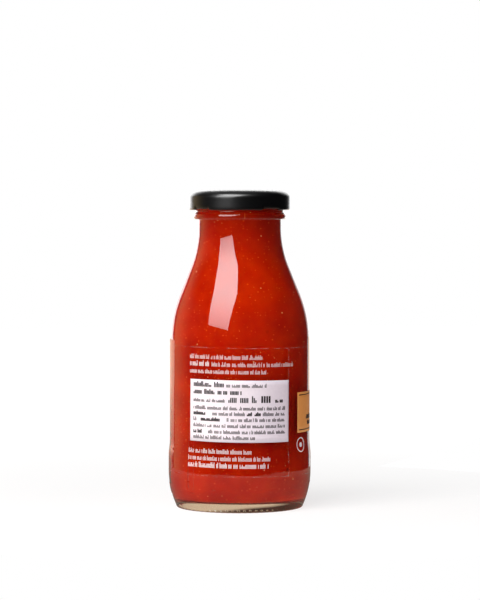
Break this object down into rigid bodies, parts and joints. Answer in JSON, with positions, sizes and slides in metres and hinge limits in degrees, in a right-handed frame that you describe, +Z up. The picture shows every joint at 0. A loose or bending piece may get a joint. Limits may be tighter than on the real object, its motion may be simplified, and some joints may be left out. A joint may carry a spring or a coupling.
{
  "type": "jar of pasta sauce",
  "caption": "Clear glass jar of tomato pasta sauce with a sloping shoulder, a black twist-off metal cap and a clear film label that carries a printed panel.",
  "frame": {"origin": "centre of the ring that the jar stands on, at the foot", "axes": "+Z up along the jar's axis; the middle of the printed panel faces -Y, so +X is to the right of someone reading it"},
  "size_m": [0.0644, 0.0644, 0.1426],
  "materials": {
    "glass": "gloss",
    "sauce": "gloss",
    "cap_lacquer": "satin",
    "film": "gloss",
    "panel_ink": "gloss",
    "plate_ink": "gloss"
  },
  "bodies": {
    "root": {"jar_glass": "glass", "sauce": "sauce", "cap": "cap_lacquer", "label_film": "film", "label_panel": "panel_ink", "label_plate": "plate_ink"}
  },
  "joints": []
}
